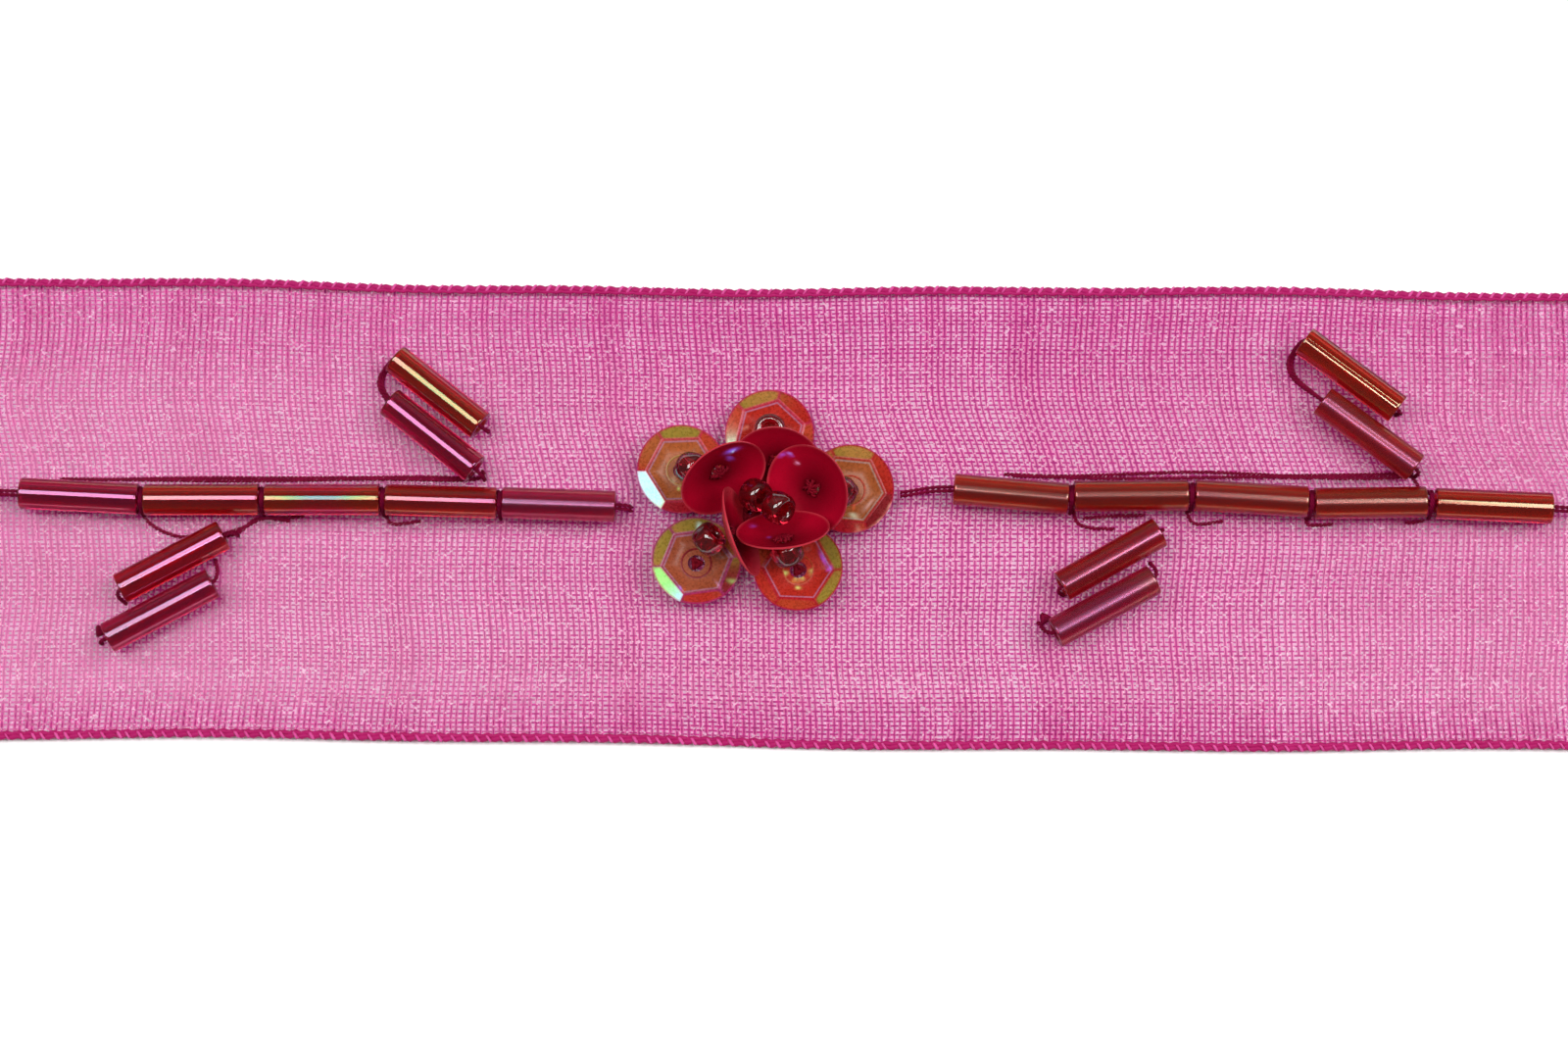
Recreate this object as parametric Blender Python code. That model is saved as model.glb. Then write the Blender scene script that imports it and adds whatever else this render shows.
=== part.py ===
# A cut length of beaded ribbon trim: one sheer woven ribbon that lies flat, a thread that runs along
# it through two rows of bugle beads with slanted leaf beads beside them, and a flower of cup sequins
# and seed beads between the rows.
# Metres, +Z up. X runs along the ribbon, the origin is at the bottom centre.

import math
from collections import namedtuple

import bmesh
import bpy
from mathutils import Matrix, Vector

MM = 0.001

# Ribbon
RIBBON_LENGTH = 96.0 * MM
RIBBON_WIDTH = 25.4 * MM
RIBBON_THICK = 1.0 * MM
SELVEDGE_WIDTH = 1.0 * MM
SELVEDGE_RISE = 0.10 * MM       # the corded edge stands a little above the cloth
RIBBON_STEPS = 48

# Everything sewn on keeps this gap to the cloth and to its neighbours
GAP = 0.30 * MM
DECK = RIBBON_THICK + GAP       # underside of what lies on the cloth

# Bugle beads: short glass tubes
BUGLE_RADIUS = 0.85 * MM
BUGLE_BORE = 0.50 * MM
BUGLE_SIDES = 14
BUGLE_AXIS = DECK + BUGLE_RADIUS

# Running thread
THREAD_RADIUS = 0.15 * MM
THREAD_LOW = DECK + THREAD_RADIUS
THREAD_TO_CUT = 1.0 * MM        # it stops this far short of the ribbon's cut ends
THREAD_STEPS = 3                # points read from the smooth route between two of its own

# Where each thread goes down through the cloth, as X and Y in mm: at the flower and at the cut end
FLOWER_LEFT = (-8.35, 0.0)
FLOWER_RIGHT = (6.35, 0.95)
END_LEFT_Y = 0.75 * MM
END_RIGHT_Y = 0.20 * MM

# Seed beads
SEED_RADIUS = 0.88 * MM
SEED_HOLE = 0.32 * MM
SEED_HEIGHT = 1.20 * MM
SEED_SIDES = 14

# Six-sided cup sequins of the flower's outer ring
CUP_RADIUS = 2.42 * MM
CUP_HOLE = 0.48 * MM
CUP_FLAT = 0.80 * MM            # pressed ring round the hole
CUP_CORNER = 1.95 * MM          # corners of the inner hexagon
CUP_CORNER_RISE = 0.30 * MM
CUP_FACET_SLOPE = 0.50
CUP_SIDES = 24

# Smooth cup sequins of the rose
PETAL_RADIUS = 2.50 * MM
PETAL_HOLE = 0.42 * MM
PETAL_DEPTH = 0.68 * MM
PETAL_SIDES = 22

SEQUIN_THICK = 0.18 * MM

# Waves of the ribbon's two long edges: how far each swings, the length of one wave, where it starts
Wave = namedtuple("Wave", "swing length start")
UPPER_WAVES = (
    Wave(0.16 * MM, 61.0 * MM, 8.0 * MM),
    Wave(0.07 * MM, 19.0 * MM, 3.0 * MM),
)
LOWER_WAVES = (
    Wave(0.14 * MM, 74.0 * MM, 30.0 * MM),
    Wave(0.06 * MM, 23.0 * MM, 9.0 * MM),
)

# Bugles: middle in mm, turn from +X in degrees, length in mm
Bugle = namedtuple("Bugle", "name x y turn length")
STEM_LEFT = (
    Bugle("stem_left_1", -38.10, 0.33, -2.4, 6.40),
    Bugle("stem_left_2", -31.48, 0.20, 0.6, 6.20),
    Bugle("stem_left_3", -24.95, 0.25, 0.5, 6.20),
    Bugle("stem_left_4", -18.53, 0.21, -1.3, 6.00),
    Bugle("stem_left_5", -12.17, 0.09, -1.5, 6.10),
)
STEM_RIGHT = (
    Bugle("stem_right_1", 12.25, 0.88, -4.6, 6.20),
    Bugle("stem_right_2", 18.75, 0.84, 1.0, 6.15),
    Bugle("stem_right_3", 25.25, 0.74, -3.0, 6.10),
    Bugle("stem_right_4", 31.68, 0.56, 1.2, 6.05),
    Bugle("stem_right_5", 38.35, 0.45, -2.1, 6.30),
)
LEAVES = (
    Bugle("leaf_left_low_1", -32.98, -3.22, 28.7, 6.25),
    Bugle("leaf_left_low_2", -33.52, -5.88, 28.7, 6.35),
    Bugle("leaf_left_high_1", -18.86, 6.22, -38.0, 6.00),
    Bugle("leaf_left_high_2", -19.10, 3.84, -38.0, 6.00),
    Bugle("leaf_right_low_1", 17.62, -2.66, 29.8, 6.10),
    Bugle("leaf_right_low_2", 17.28, -5.22, 29.0, 6.10),
    Bugle("leaf_right_high_1", 30.75, 7.62, -37.0, 6.30),
    Bugle("leaf_right_high_2", 31.68, 4.34, -36.6, 6.20),
)

# Outer sequins: middle of the rim in mm, lean of the open side in degrees and the way it leans,
# and the turn of one corner of the hexagon
Cup = namedtuple("Cup", "name x y lean way corner")
CUPS = (
    Cup("cup_left", -5.60, 2.20, 5.0, 300.0, 3.0),
    Cup("cup_top", -0.80, 4.20, 6.0, 262.0, 17.0),
    Cup("cup_right", 3.60, 1.15, 5.0, 205.0, 54.0),
    Cup("cup_low_left", -4.75, -3.00, 6.0, 60.0, 9.0),
    Cup("cup_low_right", 0.80, -3.30, 5.0, 110.0, 58.0),
)

# Rose: middle of each rim in mm, lean of the open side from straight up and the way it leans
Petal = namedtuple("Petal", "name x y z lean way")
PETALS = (
    Petal("petal_right", 1.20, 0.64, 4.06, 39.8, 217.0),
    Petal("petal_back", -0.44, 1.93, 3.56, 40.4, 265.0),
    Petal("petal_top_left", -3.23, 1.09, 4.80, 59.8, 301.8),
    Petal("petal_front_left", -2.22, -1.75, 4.84, 74.1, 16.5),
    Petal("petal_front", -0.06, -1.66, 5.17, 57.3, 96.3),
)

# Seed beads: middle in mm, lean of the hole from upright and the way it leans
Seed = namedtuple("Seed", "name x y z lean way")
CUP_SEEDS = (
    Seed("cup_left_seed", -5.01, 2.04, 2.80, 55.0, 337.0),
    Seed("cup_top_seed", -0.80, 4.25, 2.43, 6.0, 262.0),
    Seed("cup_right_seed", 3.02, 0.81, 2.80, 50.0, 192.0),
    Seed("cup_low_left_seed", -4.03, -1.85, 2.80, 60.0, 40.0),
    Seed("cup_low_right_seed", 0.18, -2.51, 2.80, 55.0, 116.0),
)
CENTRE_SEEDS = (
    Seed("seed_centre_1", -1.53, 0.31, 4.32, 55.2, 324.5),
    Seed("seed_centre_2", -0.31, -0.56, 5.36, 55.2, 324.5),
)


def clear_scene():
    for thing in list(bpy.data.objects):
        bpy.data.objects.remove(thing, do_unlink=True)


def make_material(name, colour, roughness, metallic=0.0, see_through=0.0, opacity=1.0):
    material = bpy.data.materials.new(name)
    material.use_nodes = True
    shader = material.node_tree.nodes["Principled BSDF"]
    shader.inputs["Base Color"].default_value = (*colour, 1.0)
    shader.inputs["Roughness"].default_value = roughness
    shader.inputs["Metallic"].default_value = metallic
    shader.inputs["Transmission Weight"].default_value = see_through
    shader.inputs["Alpha"].default_value = opacity
    return material


def add_object(name, mesh, material):
    mesh.materials.append(material)
    thing = bpy.data.objects.new(name, mesh)
    bpy.context.scene.collection.objects.link(thing)
    return thing


def ring_mesh(name, rings):
    """Joins rings of points, the last one to the first, into one closed skin."""
    skin = bmesh.new()
    rows = [[skin.verts.new(point) for point in ring] for ring in rings]
    for here, following in zip(rows, rows[1:] + rows[:1]):
        for side in range(len(here)):
            after = (side + 1) % len(here)
            skin.faces.new((here[side], here[after], following[after], following[side]))
    bmesh.ops.recalc_face_normals(skin, faces=skin.faces)
    mesh = bpy.data.meshes.new(name)
    skin.to_mesh(mesh)
    skin.free()
    mesh.shade_smooth()
    mesh.set_sharp_from_angle(angle=math.radians(35))
    return mesh


def turned_mesh(name, profile, sides):
    """Turns a closed profile of (radius, height) points round Z."""
    rings = []
    for radius, height in profile:
        ring = []
        for side in range(sides):
            angle = math.tau * side / sides
            ring.append((radius * math.cos(angle), radius * math.sin(angle), height))
        rings.append(ring)
    return ring_mesh(name, rings)


def leaning(lean, way):
    """A rotation that tips +Z by lean degrees towards the heading way."""
    heading = math.radians(way)
    hinge = Vector((-math.sin(heading), math.cos(heading), 0.0))
    return Matrix.Rotation(math.radians(lean), 4, hinge)


def edge_offset(waves, x):
    return sum(wave.swing * math.sin(math.tau * (x - wave.start) / wave.length) for wave in waves)


def make_ribbon(material):
    # Height of the section at each distance inwards from an edge, up one side and down the other
    half = [
        (0.0, 0.0),
        (0.0, 0.75 * RIBBON_THICK),
        (0.25 * SELVEDGE_WIDTH, RIBBON_THICK + SELVEDGE_RISE),
        (0.75 * SELVEDGE_WIDTH, RIBBON_THICK + SELVEDGE_RISE),
        (1.3 * SELVEDGE_WIDTH, RIBBON_THICK),
    ]
    skin = bmesh.new()
    sections = []
    for step in range(RIBBON_STEPS + 1):
        x = RIBBON_LENGTH * (step / RIBBON_STEPS - 0.5)
        upper = 0.5 * RIBBON_WIDTH + edge_offset(UPPER_WAVES, x)
        lower = -0.5 * RIBBON_WIDTH + edge_offset(LOWER_WAVES, x)
        outline = [(x, upper - inwards, height) for inwards, height in half]
        outline += [(x, lower + inwards, height) for inwards, height in reversed(half)]
        sections.append([skin.verts.new(point) for point in outline])
    for here, following in zip(sections, sections[1:]):
        for side in range(len(here)):
            after = (side + 1) % len(here)
            skin.faces.new((here[side], here[after], following[after], following[side]))
    skin.faces.new(sections[0])
    skin.faces.new(sections[-1])
    bmesh.ops.recalc_face_normals(skin, faces=skin.faces)
    mesh = bpy.data.meshes.new("ribbon")
    skin.to_mesh(mesh)
    skin.free()
    return add_object("ribbon", mesh, material)


def make_bugle(row, material):
    half = 0.5 * row.length * MM
    profile = [
        (BUGLE_RADIUS, -half),
        (BUGLE_RADIUS, half),
        (BUGLE_BORE, half),
        (BUGLE_BORE, -half),
    ]
    tube = add_object(row.name, turned_mesh(row.name, profile, BUGLE_SIDES), material)
    tube.rotation_euler = (0.0, math.radians(90), math.radians(row.turn))
    tube.location = (row.x * MM, row.y * MM, BUGLE_AXIS)
    return tube


def bead_end(row, side):
    """The middle of a bugle's end face: side is -1 for its low-X end and +1 for the other."""
    turn = math.radians(row.turn)
    reach = side * 0.5 * row.length
    return (row.x + reach * math.cos(turn)) * MM, (row.y + reach * math.sin(turn)) * MM


def smooth_route(points, steps):
    """Reads a smooth curve through the points, with a number of steps between each two."""
    ends = [points[0]] + list(points) + [points[-1]]
    ways = [(following - before).normalized() for before, following in zip(ends, ends[2:])]
    route = []
    for start, stop, way, next_way in zip(points, points[1:], ways, ways[1:]):
        reach = (stop - start).length
        for step in range(steps):
            t = step / steps
            route.append(
                (1 + 2 * t) * (1 - t) ** 2 * start
                + t * (1 - t) ** 2 * reach * way
                + t * t * (3 - 2 * t) * stop
                - t * t * (1 - t) * reach * next_way
            )
    route.append(points[-1])
    return route


def make_thread(name, beads, start, stop, material):
    """A thread from start to stop that passes through each bead's bore."""
    ends = [[Vector((*bead_end(bead, side), BUGLE_AXIS)) for side in (-1, 1)] for bead in beads]
    points = [Vector(start), ends[0][0]]
    for here, following in zip(ends, ends[1:]):
        # Half way across the gap between two beads
        points.append(0.5 * (here[1] + following[0]))
    points += [ends[-1][1], Vector(stop)]
    curve = bpy.data.curves.new(name, "CURVE")
    curve.dimensions = "3D"
    curve.bevel_depth = THREAD_RADIUS
    curve.bevel_resolution = 2
    curve.use_fill_caps = True
    route = smooth_route(points, THREAD_STEPS)
    spline = curve.splines.new("POLY")
    spline.points.add(len(route) - 1)
    for knot, point in zip(spline.points, route):
        knot.co = (*point, 1.0)
    curve.materials.append(material)
    thing = bpy.data.objects.new(name, curve)
    bpy.context.scene.collection.objects.link(thing)
    return thing


def cup_mesh(name):
    """A sequin pressed into six flat facets round a hexagon, its round rim higher between corners."""
    flat_side = CUP_CORNER * math.cos(math.radians(30))
    inner, middle, corner, rim = [], [], [], []
    for side in range(CUP_SIDES):
        angle = math.tau * side / CUP_SIDES
        from_facet = (angle % math.radians(60)) - math.radians(30)
        way = Vector((math.cos(angle), math.sin(angle), 0.0))
        crease = flat_side / math.cos(from_facet)
        outwards = CUP_RADIUS * math.cos(from_facet) - flat_side
        inner.append(way * CUP_HOLE)
        middle.append(way * CUP_FLAT)
        corner.append(way * crease + Vector((0, 0, CUP_CORNER_RISE)))
        rim.append(way * CUP_RADIUS + Vector((0, 0, CUP_CORNER_RISE + outwards * CUP_FACET_SLOPE)))
    top = [inner, middle, corner, rim]
    under = [[point - Vector((0, 0, SEQUIN_THICK)) for point in ring] for ring in reversed(top)]
    return ring_mesh(name, top + under)


def make_cup(row, material):
    """Sets a sequin so that the lowest point of its underside is at the deck."""
    sequin = add_object(row.name, cup_mesh(row.name), material)
    turn = leaning(row.lean, row.way) @ Matrix.Rotation(math.radians(row.corner), 4, "Z")
    lowest = min((turn @ vertex.co).z for vertex in sequin.data.vertices)
    sequin.matrix_world = Matrix.Translation((row.x * MM, row.y * MM, DECK - lowest)) @ turn
    return sequin


def petal_mesh(name):
    """A round dished sequin with a hole; its rim is level with Z = 0."""
    top = []
    for share in (PETAL_HOLE / PETAL_RADIUS, 0.42, 0.74, 1.0):
        top.append((share * PETAL_RADIUS, (share * share - 1.0) * PETAL_DEPTH))
    under = [(radius, height - SEQUIN_THICK) for radius, height in reversed(top)]
    return turned_mesh(name, top + under, PETAL_SIDES)


def seed_mesh(name):
    """A small round bead with a hole along Z."""
    belly = 0.5 * (SEED_RADIUS + SEED_HOLE)
    reach = SEED_RADIUS - belly
    profile = []
    for step in range(8):
        angle = math.tau * (step + 0.5) / 8
        squared = max(abs(math.cos(angle)), abs(math.sin(angle)))
        radius = belly + reach * math.cos(angle) / squared ** 0.35
        height = 0.5 * SEED_HEIGHT * math.sin(angle) / squared ** 0.35
        profile.append((radius, height))
    return turned_mesh(name, profile, SEED_SIDES)


def place(thing, row):
    spot = Vector((row.x * MM, row.y * MM, row.z * MM))
    thing.matrix_world = Matrix.Translation(spot) @ leaning(row.lean, row.way)
    return thing


clear_scene()

organza = make_material("organza", (0.66, 0.13, 0.33), 0.55, opacity=0.8)
bugle_glass = make_material("bugle_glass", (0.36, 0.01, 0.03), 0.08, see_through=0.5)
seed_glass = make_material("seed_glass", (0.42, 0.02, 0.05), 0.06, see_through=0.5)
cup_film = make_material("cup_film", (0.55, 0.16, 0.07), 0.12, see_through=0.3)
petal_film = make_material("petal_film", (0.42, 0.005, 0.03), 0.28)
thread_yarn = make_material("thread_yarn", (0.16, 0.005, 0.03), 0.8)

make_ribbon(organza)

for bead in STEM_LEFT + STEM_RIGHT + LEAVES:
    make_bugle(bead, bugle_glass)

cut_end = 0.5 * RIBBON_LENGTH - THREAD_TO_CUT
left_stop = (FLOWER_LEFT[0] * MM, FLOWER_LEFT[1] * MM, THREAD_LOW)
right_start = (FLOWER_RIGHT[0] * MM, FLOWER_RIGHT[1] * MM, THREAD_LOW)
make_thread("running_thread_left", STEM_LEFT, (-cut_end, END_LEFT_Y, THREAD_LOW), left_stop, thread_yarn)
make_thread("running_thread_right", STEM_RIGHT, right_start, (cut_end, END_RIGHT_Y, THREAD_LOW), thread_yarn)

for cup in CUPS:
    make_cup(cup, cup_film)

for petal in PETALS:
    place(add_object(petal.name, petal_mesh(petal.name), petal_film), petal)

for seed in CUP_SEEDS + CENTRE_SEEDS:
    place(add_object(seed.name, seed_mesh(seed.name), seed_glass), seed)
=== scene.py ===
import math

import bpy
import numpy as np
from mathutils import Matrix, Vector


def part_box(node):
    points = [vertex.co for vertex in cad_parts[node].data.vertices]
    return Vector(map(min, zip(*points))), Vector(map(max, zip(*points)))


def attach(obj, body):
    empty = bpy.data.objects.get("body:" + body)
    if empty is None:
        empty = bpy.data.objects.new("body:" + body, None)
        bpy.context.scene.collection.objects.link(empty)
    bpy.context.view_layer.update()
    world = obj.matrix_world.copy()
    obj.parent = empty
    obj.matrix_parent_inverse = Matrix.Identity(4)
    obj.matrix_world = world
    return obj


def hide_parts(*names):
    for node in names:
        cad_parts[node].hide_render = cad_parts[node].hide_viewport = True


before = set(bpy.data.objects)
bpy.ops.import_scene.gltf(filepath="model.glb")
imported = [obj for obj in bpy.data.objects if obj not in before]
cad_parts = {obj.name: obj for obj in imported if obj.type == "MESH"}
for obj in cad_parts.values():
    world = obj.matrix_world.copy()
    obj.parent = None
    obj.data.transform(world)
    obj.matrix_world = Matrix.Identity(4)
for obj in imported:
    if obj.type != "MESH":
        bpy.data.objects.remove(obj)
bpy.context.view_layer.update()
mm = 0.001
print("frame loaded:", len(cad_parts), "nodes")


# helpers for meshes

def nodePoints(name):
    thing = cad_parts[name]
    return np.array([tuple(thing.matrix_world @ corner.co) for corner in thing.data.vertices])


def makePiece(name, points, faces, material, slotName):
    mesh = bpy.data.meshes.new(name)
    mesh.from_pydata([tuple(point) for point in points], [], faces)
    mesh.materials.append(material)
    mesh.shade_smooth()
    mesh.update()
    piece = bpy.data.objects.new(name, mesh)
    bpy.context.scene.collection.objects.link(piece)
    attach(piece, "root")
    return piece


def ringFaces(rings, sides):
    # faces from each ring of points to the next, and from the last ring to the first
    faces = []
    for ring in range(rings):
        nextRing = (ring + 1) % rings
        for side in range(sides):
            after = (side + 1) % sides
            faces.append((ring * sides + side, ring * sides + after, nextRing * sides + after,
                          nextRing * sides + side))
    return faces


def turned(profile, sides):
    # a closed profile of (radius, height) turned round Z
    points = []
    for radius, height in profile:
        for side in range(sides):
            angle = math.tau * side / sides
            points.append((radius * math.cos(angle), radius * math.sin(angle), height))
    return points, ringFaces(len(profile), sides)


def directions(route):
    # the unit vector along a route at each of its points
    along = np.gradient(route, axis=0)
    return along / np.maximum(np.linalg.norm(along, axis=1, keepdims=True), 1e-12)


def distances(route):
    # how far along a route each of its points lies
    return np.concatenate([[0], np.cumsum(np.linalg.norm(np.diff(route, axis=0), axis=1))])


def tubeAlong(route, radius, sides):
    # a round tube along the points of route; radius is one number or one for each point
    route = np.asarray(route, dtype=float)
    count = len(route)
    radii = np.broadcast_to(np.asarray(radius, dtype=float), (count,))
    along = directions(route)
    across = np.zeros_like(route)
    reference = np.array((0.0, 0.0, 1.0)) if abs(along[0][2]) < 0.9 else np.array((1.0, 0.0, 0.0))
    side = np.cross(along[0], reference)
    for step in range(count):
        side = side - along[step] * side.dot(along[step])
        side /= max(np.linalg.norm(side), 1e-12)
        across[step] = side
    up = np.cross(along, across)
    points = []
    for angle in np.arange(sides) * math.tau / sides:
        points.append(route + (across * math.cos(angle) + up * math.sin(angle)) * radii[:, None])
    points = np.stack(points, axis=1).reshape(-1, 3)
    faces = []
    for step in range(count - 1):
        for corner in range(sides):
            after = (corner + 1) % sides
            faces.append((step * sides + corner, (step + 1) * sides + corner,
                          (step + 1) * sides + after, step * sides + after))
    faces.append(tuple(range(sides)))
    faces.append(tuple(reversed(range((count - 1) * sides, count * sides))))
    return points, faces


def joined(parts):
    points, faces, start = [], [], 0
    for somePoints, someFaces in parts:
        points.extend(tuple(point) for point in somePoints)
        faces.extend(tuple(start + corner for corner in face) for face in someFaces)
        start += len(somePoints)
    return points, faces


def smoothRoute(points, spacing):
    # a smooth curve through the points, read at an even spacing
    points = [np.array(point, dtype=float) for point in points]
    ends = [2 * points[0] - points[1]] + points + [2 * points[-1] - points[-2]]
    dense = []
    for before, start, stop, after in zip(ends, ends[1:], ends[2:], ends[3:]):
        for t in np.linspace(0, 1, 24, endpoint=False):
            dense.append(0.5 * (2 * start + (stop - before) * t
                                + (2 * before - 5 * start + 4 * stop - after) * t ** 2
                                + (3 * start - before - 3 * stop + after) * t ** 3))
    dense.append(points[-1])
    dense = np.array(dense)
    reach = distances(dense)
    steps = max(3, int(reach[-1] / spacing) + 1)
    wanted = np.linspace(0, reach[-1], steps)
    return np.stack([np.interp(wanted, reach, dense[:, axis]) for axis in range(3)], axis=1)


def leaning(lean, way):
    # a turn by lean degrees towards the heading way
    heading = math.radians(way)
    hinge = Vector((-math.sin(heading), math.cos(heading), 0.0))
    return Matrix.Rotation(math.radians(lean), 4, hinge)


def frameOf(points, longest):
    # middle and axis of a solid, from how its points spread
    middle = (points.min(axis=0) + points.max(axis=0)) / 2
    spread = points - points.mean(axis=0)
    axes = np.linalg.svd(spread, full_matrices=False)[2]
    axis, upright = (axes[0], axes[0][0]) if longest else (axes[2], axes[2][2])
    return Vector(middle), Vector(axis * (1 if upright > 0 else -1))


# helpers for materials

def newMaterial(name):
    material = bpy.data.materials.new(name)
    material.use_nodes = True
    nodes, links = material.node_tree.nodes, material.node_tree.links
    return material, nodes, links, nodes["Principled BSDF"]


def newGroup(name, inputs, outputs):
    group = bpy.data.node_groups.new(name, "ShaderNodeTree")
    for label, kind, start in inputs:
        socket = group.interface.new_socket(label, in_out="INPUT", socket_type=kind)
        socket.default_value = start
    for label, kind in outputs:
        group.interface.new_socket(label, in_out="OUTPUT", socket_type=kind)
    nodes, links = group.nodes, group.links
    return group, nodes, links, nodes.new("NodeGroupInput"), nodes.new("NodeGroupOutput")


def setInputs(node, values):
    for label, value in values.items():
        node.inputs[label].default_value = value


def useGroup(nodes, group, values):
    node = nodes.new("ShaderNodeGroup")
    node.node_tree = group
    setInputs(node, values)
    return node


def readAttribute(nodes, name, output):
    node = nodes.new("ShaderNodeAttribute")
    node.attribute_name = name
    return node.outputs[output]


def plug(links, value, socket):
    # a fixed value, or a link from another node
    if isinstance(value, (int, float, tuple)):
        socket.default_value = value
    else:
        links.new(value, socket)


def calc(nodes, links, operation, *values):
    node = nodes.new("ShaderNodeMath")
    node.operation = operation
    for slot, value in enumerate(values):
        plug(links, value, node.inputs[slot])
    return node.outputs[0]


def ramp(nodes, links, value, low, high, start=0.0, stop=1.0, curve="SMOOTHSTEP"):
    node = nodes.new("ShaderNodeMapRange")
    node.interpolation_type = curve
    for label, number in (("Value", value), ("From Min", low), ("From Max", high), ("To Min", start),
                          ("To Max", stop)):
        plug(links, number, node.inputs[label])
    return node.outputs["Result"]


def blend(nodes, links, factor, before, after, how="MIX"):
    node = nodes.new("ShaderNodeMix")
    node.data_type = "RGBA"
    node.blend_type = how
    for label, value in (("Factor", factor), ("A", before), ("B", after)):
        plug(links, value, node.inputs[label])
    return node.outputs["Result"]


def noise(nodes, links, place, scale, detail):
    node = nodes.new("ShaderNodeTexNoise")
    node.inputs["Detail"].default_value = detail
    plug(links, scale, node.inputs["Scale"])
    links.new(place, node.inputs["Vector"])
    return node.outputs["Fac"]


def ownPlace(nodes):
    # where a point is on the piece itself, in metres
    return nodes.new("ShaderNodeTexCoord").outputs["Object"]


def makeFibreGroup():
    # a colour that drifts from yarn to yarn, with fine fibres as bump height
    group, nodes, links, start, end = newGroup(
        "fibre",
        [("Colour", "NodeSocketColor", (0.5, 0.03, 0.2, 1)), ("Pale", "NodeSocketColor", (0.8, 0.3, 0.5, 1)),
         ("Patch Scale", "NodeSocketFloat", 300.0), ("Fibre Scale", "NodeSocketFloat", 9000.0),
         ("Amount", "NodeSocketFloat", 0.5)],
        [("Colour", "NodeSocketColor"), ("Height", "NodeSocketFloat")])
    place = ownPlace(nodes)
    patch = noise(nodes, links, place, start.outputs["Patch Scale"], 3.0)
    fine = noise(nodes, links, place, start.outputs["Fibre Scale"], 2.0)
    amount = calc(nodes, links, "MULTIPLY", patch, start.outputs["Amount"])
    drifted = blend(nodes, links, amount, start.outputs["Colour"], start.outputs["Pale"])
    links.new(drifted, end.inputs["Colour"])
    links.new(fine, end.inputs["Height"])
    return group


def makeGlassGroup():
    # drawn glass: streaks along the rod and a slow drift of colour
    group, nodes, links, start, end = newGroup(
        "drawnGlass",
        [("Deep", "NodeSocketColor", (0.4, 0.01, 0.03, 1)),
         ("Light", "NodeSocketColor", (0.6, 0.06, 0.04, 1)),
         ("Streak Scale", "NodeSocketFloat", 2200.0), ("Stretch", "NodeSocketFloat", 0.05),
         ("Haze", "NodeSocketFloat", 0.0)],
        [("Colour", "NodeSocketColor"), ("Roughness", "NodeSocketFloat"), ("Height", "NodeSocketFloat")])
    split = nodes.new("ShaderNodeSeparateXYZ")
    stretched = nodes.new("ShaderNodeCombineXYZ")
    links.new(ownPlace(nodes), split.inputs[0])
    for axis in "XY":
        links.new(split.outputs[axis], stretched.inputs[axis])
    along = calc(nodes, links, "MULTIPLY", split.outputs["Z"], start.outputs["Stretch"])
    links.new(along, stretched.inputs["Z"])
    streak = noise(nodes, links, stretched.outputs[0], start.outputs["Streak Scale"], 3.0)
    rough = ramp(nodes, links, streak, 0.0, 1.0, 0.03, 0.12, "LINEAR")
    links.new(blend(nodes, links, streak, start.outputs["Deep"], start.outputs["Light"]), end.inputs["Colour"])
    links.new(calc(nodes, links, "ADD", rough, start.outputs["Haze"]), end.inputs["Roughness"])
    links.new(streak, end.inputs["Height"])
    return group


def makeFilmGroup():
    # pressed plastic film: a fine grain, paler towards the cut rim, and painted shade darker towards the hole
    group, nodes, links, start, end = newGroup(
        "pressedFilm",
        [("Body", "NodeSocketColor", (0.5, 0.02, 0.05, 1)), ("Rim", "NodeSocketColor", (0.7, 0.1, 0.1, 1)),
         ("Rim Start", "NodeSocketFloat", 2.2), ("Rim End", "NodeSocketFloat", 2.42),
         ("Mottle", "NodeSocketFloat", 0.25), ("Dullness", "NodeSocketFloat", 0.16),
         ("Hole Shade", "NodeSocketFloat", 1.0)],
        [("Colour", "NodeSocketColor"), ("Roughness", "NodeSocketFloat"), ("Height", "NodeSocketFloat")])
    toMm = nodes.new("ShaderNodeVectorMath")
    toMm.operation = "SCALE"
    toMm.inputs["Scale"].default_value = 1 / mm
    flatten = nodes.new("ShaderNodeVectorMath")
    flatten.operation = "MULTIPLY"
    flatten.inputs[1].default_value = (1.0, 1.0, 0.0)
    length = nodes.new("ShaderNodeVectorMath")
    length.operation = "LENGTH"
    links.new(ownPlace(nodes), toMm.inputs[0])
    links.new(toMm.outputs[0], flatten.inputs[0])
    links.new(flatten.outputs[0], length.inputs[0])
    reach = length.outputs["Value"]
    grain = noise(nodes, links, toMm.outputs[0], 6.0, 4.0)
    shade = ramp(nodes, links, grain, 0.3, 0.7, 0.82, 1.34, "LINEAR")
    grained = blend(nodes, links, start.outputs["Mottle"], start.outputs["Body"], shade, "MULTIPLY")
    # painted shade: the film darkens towards its hole, keeping the given share of its brightness next to it
    heart = ramp(nodes, links, reach, 0.4, 1.9, start.outputs["Hole Shade"], 1.0, "LINEAR")
    holeShaded = blend(nodes, links, 1.0, grained, heart, "MULTIPLY")
    rim = ramp(nodes, links, reach, start.outputs["Rim Start"], start.outputs["Rim End"], curve="LINEAR")
    links.new(blend(nodes, links, rim, holeShaded, start.outputs["Rim"]), end.inputs["Colour"])
    rough = calc(nodes, links, "MULTIPLY_ADD", grain, 0.2, start.outputs["Dullness"])
    links.new(rough, end.inputs["Roughness"])
    links.new(grain, end.inputs["Height"])
    return group


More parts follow.
